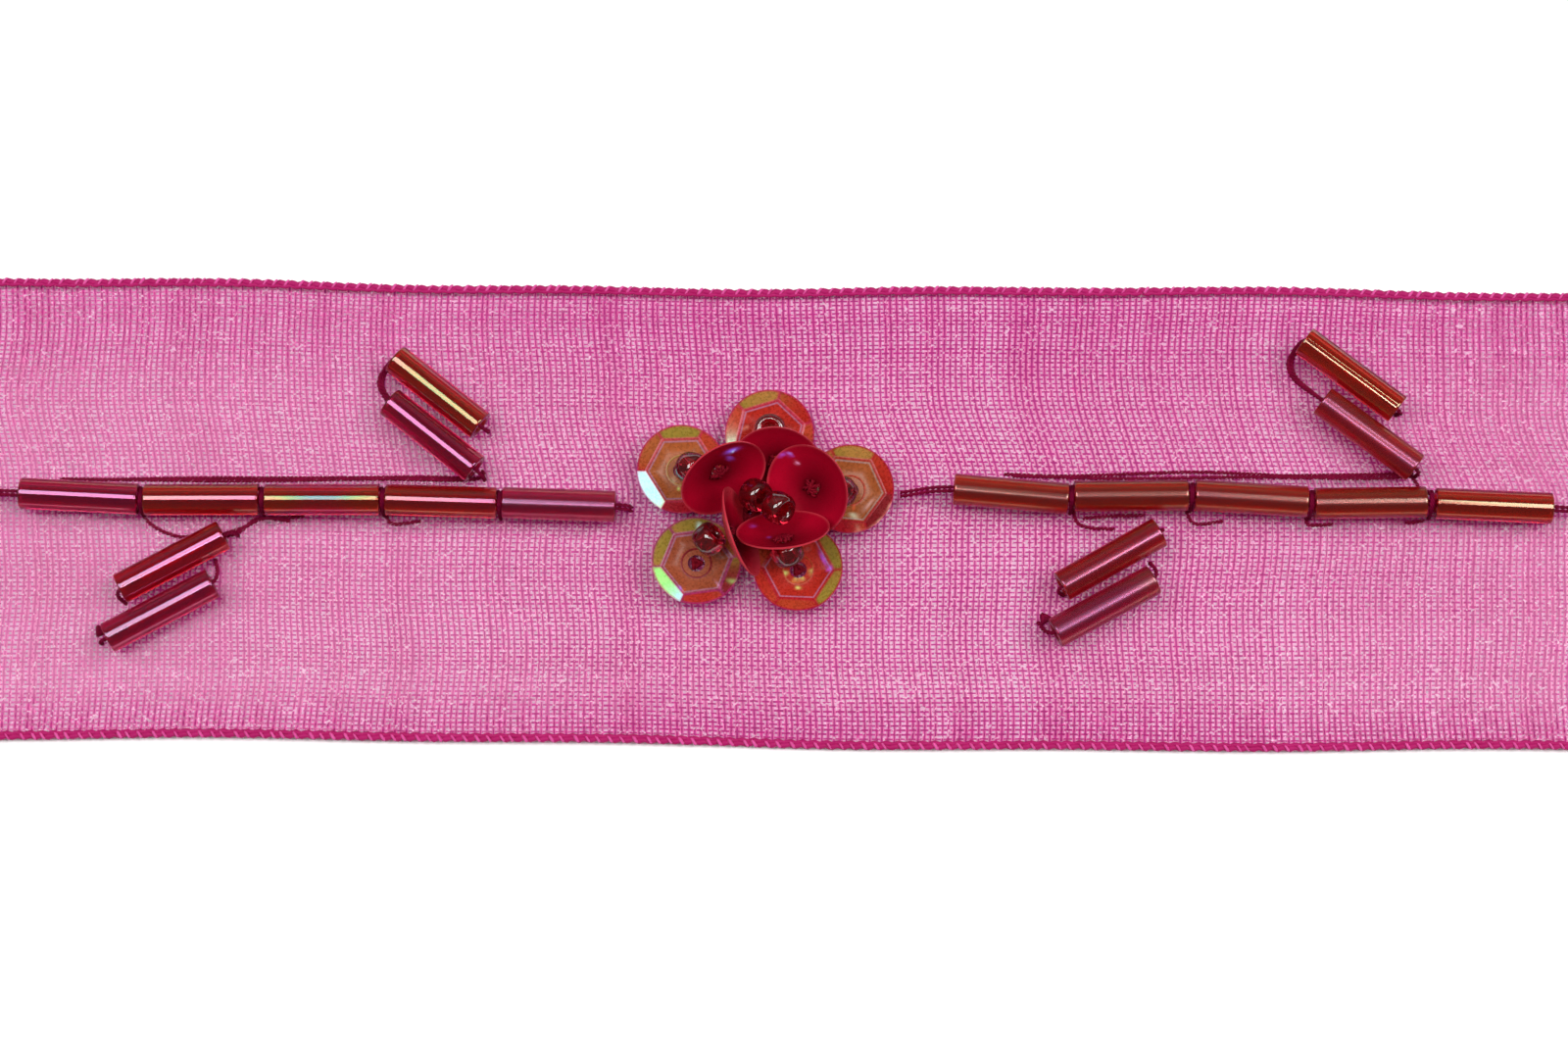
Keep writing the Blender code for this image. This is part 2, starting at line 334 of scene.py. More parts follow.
def makeFacetGroup():
    # six lens-shaped facets round a hexagon, each with a coloured border, and a painted highlight line inside
    # the crease
    group, nodes, links, start, end = newGroup(
        "pressedFacets",
        [("Colour", "NodeSocketColor", (0.5, 0.2, 0.05, 1)),
         ("Border", "NodeSocketColor", (0.5, 0.01, 0.1, 1)),
         ("Line", "NodeSocketColor", (0.6, 0.4, 0.6, 1)), ("Crease", "NodeSocketFloat", 1.69),
         ("Edge", "NodeSocketFloat", 2.40)],
        [("Colour", "NodeSocketColor")])

    def use(operation, *values):
        return calc(nodes, links, operation, *values)

    split = nodes.new("ShaderNodeSeparateXYZ")
    links.new(ownPlace(nodes), split.inputs[0])
    x, y = (use("MULTIPLY", split.outputs[axis], 1 / mm) for axis in "XY")
    reach = use("SQRT", use("ADD", use("MULTIPLY", x, x), use("MULTIPLY", y, y)))
    sector = use("WRAP", use("ARCTAN2", y, x), math.radians(60), 0.0)
    turn = use("ABSOLUTE", use("SUBTRACT", sector, math.radians(30)))
    # distances in millimetres: out from the crease, in from a corner's ray, and in from the rim
    outwards = use("SUBTRACT", use("MULTIPLY", reach, use("COSINE", turn)), start.outputs["Crease"])
    sideways = use("MULTIPLY", reach, use("SINE", use("SUBTRACT", math.radians(30), turn)))
    inwards = use("SUBTRACT", start.outputs["Edge"], reach)
    total = 0.0
    for distance in (outwards, sideways, inwards):
        total = use("ADD", use("POWER", use("MAXIMUM", distance, 0.002), -2.0), total)
    clear = use("INVERSE_SQRT", total)
    border = use("MULTIPLY", ramp(nodes, links, clear, 0.03, 0.11, 0.8, 0.0),
                 ramp(nodes, links, outwards, -0.10, -0.04))
    # painted highlight: a pale line just inside the crease
    creaseHighlight = use("MULTIPLY", ramp(nodes, links, outwards, -0.20, -0.14),
               ramp(nodes, links, outwards, -0.12, -0.07, 1.0, 0.0))
    bordered = blend(nodes, links, border, start.outputs["Colour"], start.outputs["Border"])
    highlighted = blend(nodes, links, use("MULTIPLY", creaseHighlight, 0.6), bordered, start.outputs["Line"])
    links.new(highlighted, end.inputs["Colour"])
    return group


fibreGroup = makeFibreGroup()
glassGroup = makeGlassGroup()
filmGroup = makeFilmGroup()
facetGroup = makeFacetGroup()


def addBump(nodes, links, shader, heightSocket, strength, distance):
    bump = nodes.new("ShaderNodeBump")
    setInputs(bump, {"Strength": strength, "Distance": distance})
    links.new(heightSocket, bump.inputs["Height"])
    links.new(bump.outputs["Normal"], shader.inputs["Normal"])


def yarnMaterial(name, colour, pale, amount=0.8, patchScale=1500.0, sheen=0.0, roughness=0.6):
    material, nodes, links, shader = newMaterial(name)
    fibre = useGroup(nodes, fibreGroup, {"Colour": (*colour, 1), "Pale": (*pale, 1), "Amount": amount,
                                         "Patch Scale": patchScale})
    links.new(fibre.outputs["Colour"], shader.inputs["Base Color"])
    addBump(nodes, links, shader, fibre.outputs["Height"], 0.3, 0.01 * mm)
    setInputs(shader, {"Roughness": roughness, "Sheen Weight": sheen, "Sheen Roughness": 0.4,
                       "Specular IOR Level": 0.08})
    return material


def filmMaterial(name, look, groupValues):
    # pressed film with its grain, and the spots of shine that its mesh holds, which glow as painted highlights
    material, nodes, links, shader = newMaterial(name)
    film = useGroup(nodes, filmGroup, {"Rim": (*look["rim"], 1), "Rim End": look["rimEnd"],
                                       "Mottle": look["mottle"], "Dullness": look["dullness"], **groupValues})
    links.new(film.outputs["Colour"], shader.inputs["Base Color"])
    links.new(film.outputs["Roughness"], shader.inputs["Roughness"])
    links.new(readAttribute(nodes, "shine", "Color"), shader.inputs["Emission Color"])
    addBump(nodes, links, shader, film.outputs["Height"], look["bump"], look["bumpDepth"])
    setInputs(shader, {"Emission Strength": 1.0, "Transmission Weight": look["through"], "IOR": look["index"],
                       "Specular IOR Level": look["gloss"]})
    return material, film


def glassMaterial(name, deep, light, film, through, haze, filmIndex, half=0.0):
    # film is one thickness, or three from a bead's left end to its right end
    material, nodes, links, shader = newMaterial(name)
    glass = useGroup(nodes, glassGroup, {"Deep": (*deep, 1), "Light": (*light, 1), "Haze": haze})
    links.new(glass.outputs["Colour"], shader.inputs["Base Color"])
    links.new(glass.outputs["Roughness"], shader.inputs["Roughness"])
    addBump(nodes, links, shader, glass.outputs["Height"], 0.06, 0.01 * mm)
    setInputs(shader, {"Transmission Weight": through, "IOR": 1.52, "Thin Film IOR": filmIndex})
    if half:
        split = nodes.new("ShaderNodeSeparateXYZ")
        links.new(ownPlace(nodes), split.inputs[0])
        before, between, after = film
        first = ramp(nodes, links, split.outputs["Z"], -half, -0.1 * half, before, between)
        second = ramp(nodes, links, split.outputs["Z"], 0.1 * half, half, 0.0, after - between)
        links.new(calc(nodes, links, "ADD", first, second), shader.inputs["Thin Film Thickness"])
    else:
        shader.inputs["Thin Film Thickness"].default_value = film
    return material


# camera: nearly above, as in the photo

cameraView = {
    "elevation": 80.0,
    "roll": 0.48,                # the ribbon runs a little downhill to the right
    "lens": 90.0,
    "widthShown": 85.07 * mm,
    "aim": (0.0, -0.65 * mm, 1.2 * mm),
}


def makeCamera(values):
    data = bpy.data.cameras.new("camera")
    data.lens = values["lens"]
    data.sensor_width = 36.0
    data.clip_start = 0.01
    camera = bpy.data.objects.new("camera", data)
    bpy.context.scene.collection.objects.link(camera)
    high, roll = math.radians(values["elevation"]), math.radians(values["roll"])
    back = Vector((0, -math.cos(high), math.sin(high)))
    upwards = Vector((0, math.sin(high), math.cos(high)))
    right = Vector((1, 0, 0)) * math.cos(roll) + upwards * math.sin(roll)
    up = back.cross(right)
    distance = values["widthShown"] * values["lens"] / data.sensor_width
    camera.matrix_world = Matrix.Translation(Vector(values["aim"]) + back * distance) @ Matrix(
        (right, up, back)).transposed().to_4x4()
    bpy.context.scene.camera = camera


makeCamera(cameraView)


# the woven cloth

clothLook = {
    "warpPitch": 0.235 * mm,
    "weftPitch": 0.325 * mm,
    "warpWidth": 0.100 * mm,
    "weftWidth": 0.220 * mm,
    "swing": 0.042 * mm,           # how far a yarn goes over and under
    "middleHeight": 1.18 * mm,
    "edgeHeight": 0.34 * mm,
    "edgeFall": 5.0,               # how late the cloth falls away towards its edges
    "ripple": 0.035 * mm,
    "slant": 1.25 * mm,            # the wefts lean just above the bead row
    "slantFrom": 0.3 * mm,
    "slantTo": 6.5 * mm,
    "selvedge": 0.55 * mm,
    "colour": (0.42, 0.006, 0.17),
    "pale": (0.60, 0.040, 0.32),
    "loose": (0.92, 0.27, 0.57),   # the pale filaments at a yarn's sides
    # painted glints: pale spots in the yarn's colour
    "glint": (1.0, 0.80, 0.90),
    "glintScale": 5200.0,
    "glintFrom": 0.70,             # how rare the glints are
    "glintTo": 0.75,
    "warpDepth": 1.0,              # how deep the dye looks in a warp, of 1 in the heart of a weft
    "warpWander": 0.012 * mm,
    "weftWander": 0.02 * mm,
    "crown": 0.02 * mm,            # how high a weft's middle line lies above its sides
    "sway": 0.05 * mm,
    "through": 0.85,
    "gloss": 0.6,
    "seed": 7,
}


def ribbonEdge(side):
    # the outermost point of the solid near each place along X
    points = nodePoints("ribbon")
    points = points[points[:, 1] * side > 0]
    edge = [side * (points[np.abs(points[:, 0] - x) < 0.05 * mm, 1] * side).max() for x in points[:, 0]]
    order = np.argsort(points[:, 0])
    return np.interp(edgeX, points[order, 0], np.array(edge)[order])


halfLength = nodePoints("ribbon")[:, 0].max()
edgeX = np.linspace(-halfLength, halfLength, 193)
upperEdge, lowerEdge = ribbonEdge(1), ribbonEdge(-1)
halfWidth = 0.5 * (upperEdge.mean() - lowerEdge.mean())


def clothHeight(x, y, values=clothLook):
    share = np.clip(np.abs(y) / halfWidth, 0, 1.05)
    rise = (values["middleHeight"] - values["edgeHeight"]) * (1 - share ** values["edgeFall"])
    ripple = np.sin(x * 260 + y * 140) * np.sin(x * 95 - y * 60 + 1.3)
    return values["edgeHeight"] + rise + values["ripple"] * ripple * (0.25 + 0.75 * share)


def weftSlant(x, y, values=clothLook):
    t = np.clip((y - values["slantFrom"]) / (values["slantTo"] - values["slantFrom"]), 0, 1)
    wander = 0.16 * mm * np.sin(y * 420 + x * 55) + 0.07 * mm * np.sin(y * 900 - x * 130)
    return -values["slant"] * t * t * (3 - 2 * t) + wander


def makeCloth(values):
    random = np.random.default_rng(values["seed"])
    inner = halfWidth - values["selvedge"]
    warpCount = int(2 * inner / values["warpPitch"])
    weftCount = int(2 * (halfLength + values["slant"]) / values["weftPitch"])
    across = np.linspace(-inner, inner, warpCount)
    across = across + random.normal(0, values["warpWander"], warpCount)
    reach = np.concatenate([[-halfWidth + 0.1 * mm], across, [halfWidth - 0.1 * mm]])
    along = (np.arange(weftCount) - 0.5 * (weftCount - 1)) * values["weftPitch"] + 0.5 * values["slant"]
    along = along + random.normal(0, values["weftWander"], weftCount)
    x = along[:, None] + weftSlant(along[:, None], reach[None, :])
    upper, lower = np.interp(x, edgeX, upperEdge), np.interp(x, edgeX, lowerEdge)
    share = reach[None, :] / halfWidth
    y = 0.5 * (upper + lower) + 0.5 * (upper - lower) * share
    y = y + values["sway"] * np.sin(x * 180 + reach[None, :] * 700) * (1 - share ** 2)
    base = clothHeight(x, y)
    sign = np.where((np.arange(weftCount)[:, None] + np.arange(len(reach))[None, :]) % 2, 1.0, -1.0)
    swing = values["swing"] * random.uniform(0.65, 1.25, x.shape)
    inside = np.abs(x) <= halfLength
    points, faces, depths = [], [], []

    def strip(route, side, crown):
        # a flat yarn: two edges and, where crown is set, a raised middle line
        count = len(route)
        if count < 2:
            return
        rows = [route + side, route - side]
        depth = [values["warpDepth"]] * 2
        if crown:
            rows = [route + side, route + np.array((0, 0, crown)), route - side]
            depth = [0.0, 1.0, 0.0]
        depths.append(np.tile(depth, count))
        start = sum(len(part) for part in points)
        points.append(np.stack(rows, axis=1).reshape(-1, 3))
        wide = len(rows)
        for step in range(count - 1):
            for row in range(wide - 1):
                corner = start + step * wide + row
                faces.append((corner, corner + wide, corner + wide + 1, corner + 1))

    for warp in range(1, len(reach) - 1):
        keep = inside[:, warp]
        width = 0.5 * values["warpWidth"] * random.uniform(0.8, 1.2)
        route = np.stack([x[keep, warp], y[keep, warp], (base + sign * swing)[keep, warp]], axis=1)
        strip(route, np.array((0, width, 0)), 0)
    for weft in range(weftCount):
        keep = inside[weft]
        width = 0.5 * values["weftWidth"] * random.uniform(0.75, 1.25)
        route = np.stack([x[weft, keep], y[weft, keep], (base - sign * swing)[weft, keep]], axis=1)
        strip(route, np.array((width, 0, 0)), values["crown"])
    return np.concatenate(points), faces, np.concatenate(depths)


def makeOrganza(values):
    # sheer filament yarn: deep in its heart, pale and loose at its sides, with painted glints: rare pale spots
    # mixed into its colour
    material, nodes, links, shader = newMaterial("organza")
    fibre = useGroup(nodes, fibreGroup, {"Colour": (*values["colour"], 1), "Pale": (*values["pale"], 1),
                                         "Amount": 0.5, "Patch Scale": 420.0})
    heart = ramp(nodes, links, readAttribute(nodes, "depth", "Fac"), 0.35, 0.75)
    dyed = blend(nodes, links, heart, (*values["loose"], 1), fibre.outputs["Colour"])
    # painted glints: where a fine noise peaks, the colour turns to the glint colour
    spots = noise(nodes, links, ownPlace(nodes), values["glintScale"], 0.0)
    glint = ramp(nodes, links, spots, values["glintFrom"], values["glintTo"])
    links.new(blend(nodes, links, glint, dyed, (*values["glint"], 1)), shader.inputs["Base Color"])
    setInputs(shader, {"Roughness": 0.4, "Specular IOR Level": 0.3, "Transmission Weight": values["through"],
                       "IOR": 1.06, "Coat Weight": values["gloss"], "Coat Roughness": 0.18})
    return material


clothPoints, clothFaces, clothDepths = makeCloth(clothLook)
cloth = makePiece("organzaCloth", clothPoints, clothFaces, makeOrganza(clothLook), "organza")
cloth.data.attributes.new("depth", "FLOAT", "POINT").data.foreach_set("value", clothDepths)
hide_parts("ribbon")
print("cloth woven:", len(clothFaces), "faces")


# the corded selvedges, part of the cloth

selvedgeLook = {
    "cords": 2,
    "cordRadius": 0.13 * mm,
    "outerRadius": 0.16 * mm,
    "outerLift": 0.02 * mm,
    "step": 0.1625 * mm,
    "scallop": 0.03 * mm,
    "bump": 0.05 * mm,
    "bumpPitch": 0.65 * mm,
    "swell": 0.22,                 # how much thicker a cord is at each bump
    "unevenness": 0.04,
    "loopRadius": 0.085 * mm,
    "loopLean": 0.12 * mm,         # a turn of weft leans this far along the cord to each side
    "loopWander": 0.08 * mm,
    "colour": (0.34, 0.004, 0.085),
    "pale": (0.52, 0.022, 0.18),
    "turnColour": (0.62, 0.03, 0.24),
    "turnPale": (0.90, 0.16, 0.48),
}


def makeSelvedge(side, values):
    random = np.random.default_rng(11 + side)
    x = np.arange(-halfLength + 0.15 * mm, halfLength - 0.1 * mm, values["step"])
    edge = np.interp(x, edgeX, upperEdge if side > 0 else lowerEdge)
    scallop = values["scallop"] * np.cos(x * math.tau / values["bumpPitch"])
    cords, turns = [], []
    width = clothLook["selvedge"]
    for cord in range(values["cords"]):
        outermost = cord == 0
        radius = values["outerRadius"] if outermost else values["cordRadius"]
        inwards = radius + cord * (width - radius) / values["cords"]
        phase = math.pi * cord + random.uniform(-0.3, 0.3)
        wave = np.sin(x * math.tau / values["bumpPitch"] + phase)
        y = edge - side * (inwards - scallop)
        z = clothHeight(x, y) + 0.5 * values["bump"] * wave + (values["outerLift"] if outermost else 0.0)
        radii = radius * (1 + values["swell"] * wave + random.normal(0, values["unevenness"], len(x)))
        cords.append(tubeAlong(np.stack([x, y, z], axis=1), radii, 6))
    for middle in np.arange(-halfLength + 0.4 * mm, halfLength - 0.4 * mm, values["bumpPitch"]):
        # a weft turns over the outermost cord
        turn = np.linspace(-0.3, 0.35, 7) * math.pi
        radius = values["outerRadius"] + values["outerLift"]
        edgeHere = np.interp(middle, edgeX, upperEdge if side > 0 else lowerEdge)
        y = edgeHere - side * (radius - radius * np.sin(turn))
        x = middle + values["loopLean"] * np.linspace(-1, 1, len(turn))
        x = x + random.normal(0, values["loopWander"])
        z = clothHeight(middle, edgeHere - side * radius) + radius * np.cos(turn) + values["outerLift"]
        thick = values["loopRadius"] * random.uniform(0.6, 1.1)
        turns.append(tubeAlong(np.stack([x, y, z], axis=1), thick, 4))
    return cords, turns


selvedgeYarn = yarnMaterial("selvedgeYarn", selvedgeLook["colour"], selvedgeLook["pale"],
                            patchScale=900.0, sheen=0.2, roughness=0.4)
turnYarn = yarnMaterial("turnYarn", selvedgeLook["turnColour"], selvedgeLook["turnPale"],
                        amount=0.9, patchScale=700.0, sheen=0.2, roughness=0.4)
for label, side in (("selvedgeUpper", 1), ("selvedgeLower", -1)):
    cords, turns = makeSelvedge(side, selvedgeLook)
    piece = makePiece(label, *joined(cords + turns), selvedgeYarn, "organza")
    piece.data.materials.append(turnYarn)
    cordFaces = sum(len(faces) for _, faces in cords)
    slots = np.arange(len(piece.data.polygons)) >= cordFaces
    piece.data.polygons.foreach_set("material_index", slots.astype(np.int32))
print("selvedges corded")


# bugle beads

bugleLook = {
    "sides": 40,
    "bore": 0.50 * mm,
    "wall": 0.85 * mm,
    "polish": 0.07 * mm,           # the rounding of each cut end
    "through": 0.9,
    "coatIndex": 2.0,              # the thicknesses below are for a coat of this index
    "filmIndex": 1.74,             # the coat's index here, lower for a softer sheen
}

# each bead's iridescent coat: its thickness in nanometres at the left end, the middle and the right end,
# its glass, and how dull it is
bugleCoats = {
    "stem_left_1": ((414, 404, 400), "wine", 0.0),
    "stem_left_2": ((372, 377, 386), "brick", 0.0),
    "stem_left_3": ((354, 306, 352), "brick", 0.0),
    "stem_left_4": ((373, 380, 394), "brick", 0.0),
    "stem_left_5": ((414, 408, 400), "wine", 0.14),
    "stem_right_1": ((366, 364, 368), "brown", 0.13),
    "stem_right_2": ((368, 366, 366), "brown", 0.13),
    "stem_right_3": ((374, 368, 366), "brick", 0.13),
    "stem_right_4": ((370, 366, 366), "brown", 0.13),
    "stem_right_5": ((360, 357, 360), "brick", 0.0),
    "leaf_left_low_1": ((418, 408, 396), "ruby", 0.0),
    "leaf_left_low_2": ((420, 416, 410), "wine", 0.04),
    "leaf_left_high_1": ((364, 334, 352), "ruby", 0.0),
    "leaf_left_high_2": ((398, 404, 408), "wine", 0.0),
    "leaf_right_low_1": ((388, 386, 390), "ruby", 0.12),
    "leaf_right_low_2": ((402, 406, 374), "wine", 0.18),
    "leaf_right_high_1": ((358, 355, 358), "brick", 0.0),
    "leaf_right_high_2": ((390, 386, 392), "ruby", 0.16),
}
glassColours = {
    "ruby": ((0.56, 0.003, 0.02), (0.68, 0.014, 0.03)),
    "wine": ((0.52, 0.003, 0.06), (0.64, 0.014, 0.10)),
    "brick": ((0.58, 0.006, 0.012), (0.70, 0.022, 0.02)),
    "brown": ((0.56, 0.004, 0.008), (0.68, 0.015, 0.014)),
}


def rodOf(node):
    # middle, axis and half length of a bead's solid
    points = nodePoints(node)
    middle, axis = frameOf(points, True)
    return middle, axis, max(abs((Vector(point) - middle).dot(axis)) for point in points)


def makeBugle(node, film, glass, haze, values):
    middle, axis, half = rodOf(node)
    wall, bore, polish = values["wall"], values["bore"], values["polish"]
    topHalf = [(wall, half - 2 * polish), (wall, half - polish), (wall - 0.3 * polish, half - 0.3 * polish),
               (wall - polish, half), (bore + 0.5 * polish, half), (bore, half - 0.5 * polish),
               (bore, half - 2 * polish)]
    profile = topHalf + [(radius, -height) for radius, height in reversed(topHalf)]
    shape, faces = turned(profile, values["sides"])
    film = [thickness * values["coatIndex"] / values["filmIndex"] for thickness in film]
    material = glassMaterial("glass_" + node, *glassColours[glass], film, values["through"], haze,
                             values["filmIndex"], half)
    piece = makePiece("bugle_" + node, shape, faces, material, "bugle_glass")
    piece.data.set_sharp_from_angle(angle=math.radians(50))
    piece.matrix_world = Matrix.Translation(middle) @ axis.to_track_quat("Z", "Y").to_matrix().to_4x4()
    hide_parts(node)


for node, coat in bugleCoats.items():
    makeBugle(node, *coat, bugleLook)
print("bugles made:", len(bugleCoats))


# seed beads

seedLook = {
    "radius": 0.88 * mm,
    "hole": 0.30 * mm,
    "height": 1.20 * mm,
    "sides": 36,
    "rings": 20,
    "film": 76,                    # the coat's thickness in nanometres
    "filmIndex": 1.68,
    "through": 0.9,
    "haze": -0.03,
    "squareness": 0.35,            # 0 for a round section, more for a squarer one
    "cupGlass": ((0.38, 0.004, 0.02), (0.52, 0.02, 0.035)),
    "centreGlass": ((0.30, 0.004, 0.02), (0.42, 0.02, 0.03)),
}
# how far each bead's hole leans from upright, and which way
seedLeans = {
    "cup_left_seed": (55.0, 337.0), "cup_top_seed": (6.0, 262.0), "cup_right_seed": (50.0, 192.0),
    "cup_low_left_seed": (60.0, 40.0), "cup_low_right_seed": (55.0, 116.0),
    "seed_centre_1": (55.2, 324.5), "seed_centre_2": (55.2, 324.5),
}


def makeSeed(node, glass, values):
    belly = 0.5 * (values["radius"] + values["hole"])
    reach = values["radius"] - belly
    profile = []
    for step in range(values["rings"]):
        angle = math.tau * step / values["rings"]
        squared = max(abs(math.cos(angle)), abs(math.sin(angle))) ** values["squareness"]
        profile.append((belly + reach * math.cos(angle) / squared,
                        -0.5 * values["height"] * math.sin(angle) / squared))
    shape, faces = turned(profile[::-1], values["sides"])
    material = glassMaterial("glass_" + node, *glass, values["film"], values["through"], values["haze"],
                             values["filmIndex"])
    piece = makePiece("bead_" + node, shape, faces, material, "seed_glass")
    low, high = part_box(node)
    piece.matrix_world = Matrix.Translation((Vector(low) + Vector(high)) / 2) @ leaning(*seedLeans[node])
    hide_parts(node)


# the outer sequins: six pressed facets round a hexagon

cupLook = {
    "radius": 2.42 * mm,
    "hole": 0.46 * mm,
    "flat": 0.80 * mm,
    "corner": 1.95 * mm,
    "cornerRise": 0.30 * mm,
    "slope": 0.50,
    "thick": 0.09 * mm,
    "ridge": 0.085 * mm,           # half the width of a pressed ridge
    "ridgeRise": 0.012 * mm,
    "sides": 144,
    "dishing": 2.0,                # how late the floor rises towards the crease
    "turning": 4.0,                # how late a facet's colour turns from its first end to its last
    "rim": (0.50, 0.008, 0.12),
    "rimStart": 2.37,              # where the paler rim begins and is full, in millimetres
    "rimEnd": 2.42,
    "mottle": 0.75,
    "dullness": 0.18,
    "bump": 0.12,
    "bumpDepth": 0.02 * mm,
    "through": 0.2,
    "index": 1.45,
    "gloss": 0.35,
}
# each sequin's coat colours: partly the film's own colour and partly its iridescent coat's reflection painted
# in; mint, cyan, lime and cream stand for painted lamp reflections
coatAndReflectionColours = {
    "olive": (0.34, 0.24, 0.035), "gold": (0.45, 0.22, 0.05), "amber": (0.42, 0.11, 0.03),
    "ember": (0.50, 0.055, 0.02), "rust": (0.48, 0.025, 0.015), "red": (0.42, 0.006, 0.02),
    "umber": (0.38, 0.085, 0.035), "brown": (0.26, 0.014, 0.020), "mint": (0.62, 1.0, 0.74),
    "cyan": (0.45, 0.92, 1.0), "lime": (0.35, 0.85, 0.22), "cream": (1.0, 0.86, 0.62),
    "rose": (0.50, 0.02, 0.07), "plum": (0.36, 0.02, 0.14),
    "lilac": (0.50, 0.26, 0.46), "violet": (0.16, 0.10, 0.85), "grey": (0.50, 0.40, 0.40),
}
# painted lamp reflections: facets of these colours also glow by this share of their colour
reflectionGlow = {"mint": 0.55, "cyan": 0.55, "lime": 0.30}
# one corner's heading in degrees, the colours of the six facets from there on, each from its first end to
# its last, then the colours of floor, hole's lip, borders and painted crease highlight; facet, floor and lip
# colours hold the coat's painted reflection
cupSet = {
    "cup_left": (3, (("ember", "ember"), ("olive", "olive"), ("amber", "ember"), ("cyan", "mint"),
                     ("red", "red"), ("red", "red")), "amber", "gold", "rose", "lilac"),
    "cup_top": (17, (("rust", "amber"), ("gold", "olive"), ("ember", "mint"), ("lime", "red"),
                     ("red", "red"), ("ember", "ember")), "rust", "rose", "rose", "lilac"),
    "cup_right": (54, (("gold", "olive"), ("amber", "amber"), ("amber", "red"), ("red", "ember"),
                       ("brown", "brown"), ("rust", "ember")), "amber", "ember", "red", "grey"),
    "cup_low_left": (9, (("amber", "olive"), ("olive", "gold"), ("olive", "gold"), ("lime", "cyan"),
                         ("rust", "ember"), ("brown", "olive")), "umber", "brown", "plum", "lilac"),
    "cup_low_right": (58, (("olive", "amber"), ("ember", "ember"), ("rust", "ember"), ("ember", "rust"),
                           ("olive", "gold"), ("olive", "gold")), "rust", "ember", "red", "lilac"),
}
# painted highlights: small glowing spots of shine on each sequin, in millimetres and degrees seen from above:
# reach and heading of the spot, its length, width and slant, its colour and its strength
cupShine = {
    "cup_left": ((0.62, 225, 0.40, 0.22, 120, "mint", 0.7), (1.00, 262, 0.25, 0.10, 20, "lime", 0.5)),
    "cup_top": ((1.38, 164, 0.32, 0.14, 60, "cream", 0.5), (0.85, 75, 0.60, 0.07, 165, "lilac", 0.4)),
    "cup_right": ((1.29, 322, 1.30, 0.22, 45, "grey", 0.55), (0.93, 283, 0.28, 0.18, 60, "ember", 0.9),
                  (1.42, 279, 0.55, 0.20, 170, "mint", 0.7), (2.08, 279, 0.50, 0.20, 150, "cream", 0.55),
                  (2.33, 325, 1.50, 0.10, 55, "cream", 0.7), (2.33, 292, 1.10, 0.09, 22, "cream", 0.5),
                  (0.62, 52, 0.35, 0.14, 325, "violet", 0.8)),
    "cup_low_left": ((1.86, 85, 0.45, 0.14, 30, "cyan", 0.8), (2.07, 67, 0.26, 0.16, 60, "lime", 0.6),
                     (1.70, 314, 0.60, 0.12, 300, "lilac", 0.6), (2.24, 330, 0.50, 0.24, 20, "lime", 0.45),
                     (1.74, 247, 0.34, 0.16, 60, "ember", 0.7), (1.72, 240, 0.50, 0.10, 330, "violet", 0.8),
                     (0.62, 255, 0.35, 0.08, 345, "lilac", 0.6)),
    "cup_low_right": ((1.72, 0, 0.34, 0.22, 90, "violet", 1.0), (1.48, 22, 0.95, 0.13, 116, "violet", 0.6),
                      (1.00, 270, 0.40, 0.09, 10, "lime", 0.8), (0.75, 195, 0.35, 0.08, 110, "lime", 0.6),
                      (0.72, 350, 0.40, 0.08, 75, "lime", 0.6), (0.42, 280, 0.60, 0.09, 5, "lime", 0.8),
                      (0.72, 255, 0.50, 0.07, 350, "olive", 0.8)),
}


def shineOf(points, spots):
    # painted highlights: the colour that soft glowing spots of shine add to points on a disc, all in
    # millimetres
    colours = np.zeros((len(points), 3))
    for reach, heading, length, width, slant, name, strength in spots:
        turn, tilt = math.radians(heading), math.radians(slant)
        away = points[:, :2] - reach * np.array((math.cos(turn), math.sin(turn)))
        along = 2 * (away @ np.array((math.cos(tilt), math.sin(tilt)))) / length
        aside = 2 * (away @ np.array((-math.sin(tilt), math.cos(tilt)))) / width
        colours += np.exp(-1.5 * (along ** 2 + aside ** 2))[:, None] * strength * np.array(coatAndReflectionColours[name])
    return colours


def cupRings(flatSide, values):
    # rings of points from the hole out to the rim, with a ridge pressed along the crease
    half, rise, radius = values["ridge"], values["cornerRise"], values["radius"]
    climb = rise / (values["corner"] - values["flat"])
    rings = None
    for side in range(values["sides"]):
        angle = math.tau * side / values["sides"]
        fromFacet = (angle % math.radians(60)) - math.radians(30)
        way = Vector((math.cos(angle), math.sin(angle), 0))
        crease = flatSide / math.cos(fromFacet)
        rimRise = rise + (radius * math.cos(fromFacet) - flatSide) * values["slope"]
        inner, outer = values["flat"] + 0.06 * mm, crease - half
        steps = [(values["hole"], 0.0), (values["flat"] - 0.05 * mm, 0.0), (values["flat"], 0.03 * mm)]
        steps += [(inner + (outer - inner) * share,
                   0.02 * mm + (rise - half * climb - 0.02 * mm) * share ** values["dishing"])
                  for share in (0.0, 0.2, 0.4, 0.6, 0.8, 1.0)]
        steps += [(crease, rise + values["ridgeRise"]), (crease + half, rise + half * 0.5 * values["slope"]),
                  (radius - 0.17 * mm, rimRise - 0.14 * mm * values["slope"]),
                  (radius - 0.03 * mm, rimRise), (radius, rimRise - 0.02 * mm)]
        rings = rings or [[] for _ in steps]
        for ring, (reach, height) in zip(rings, steps):
            ring.append(way * reach + Vector((0, 0, height)))
    return rings


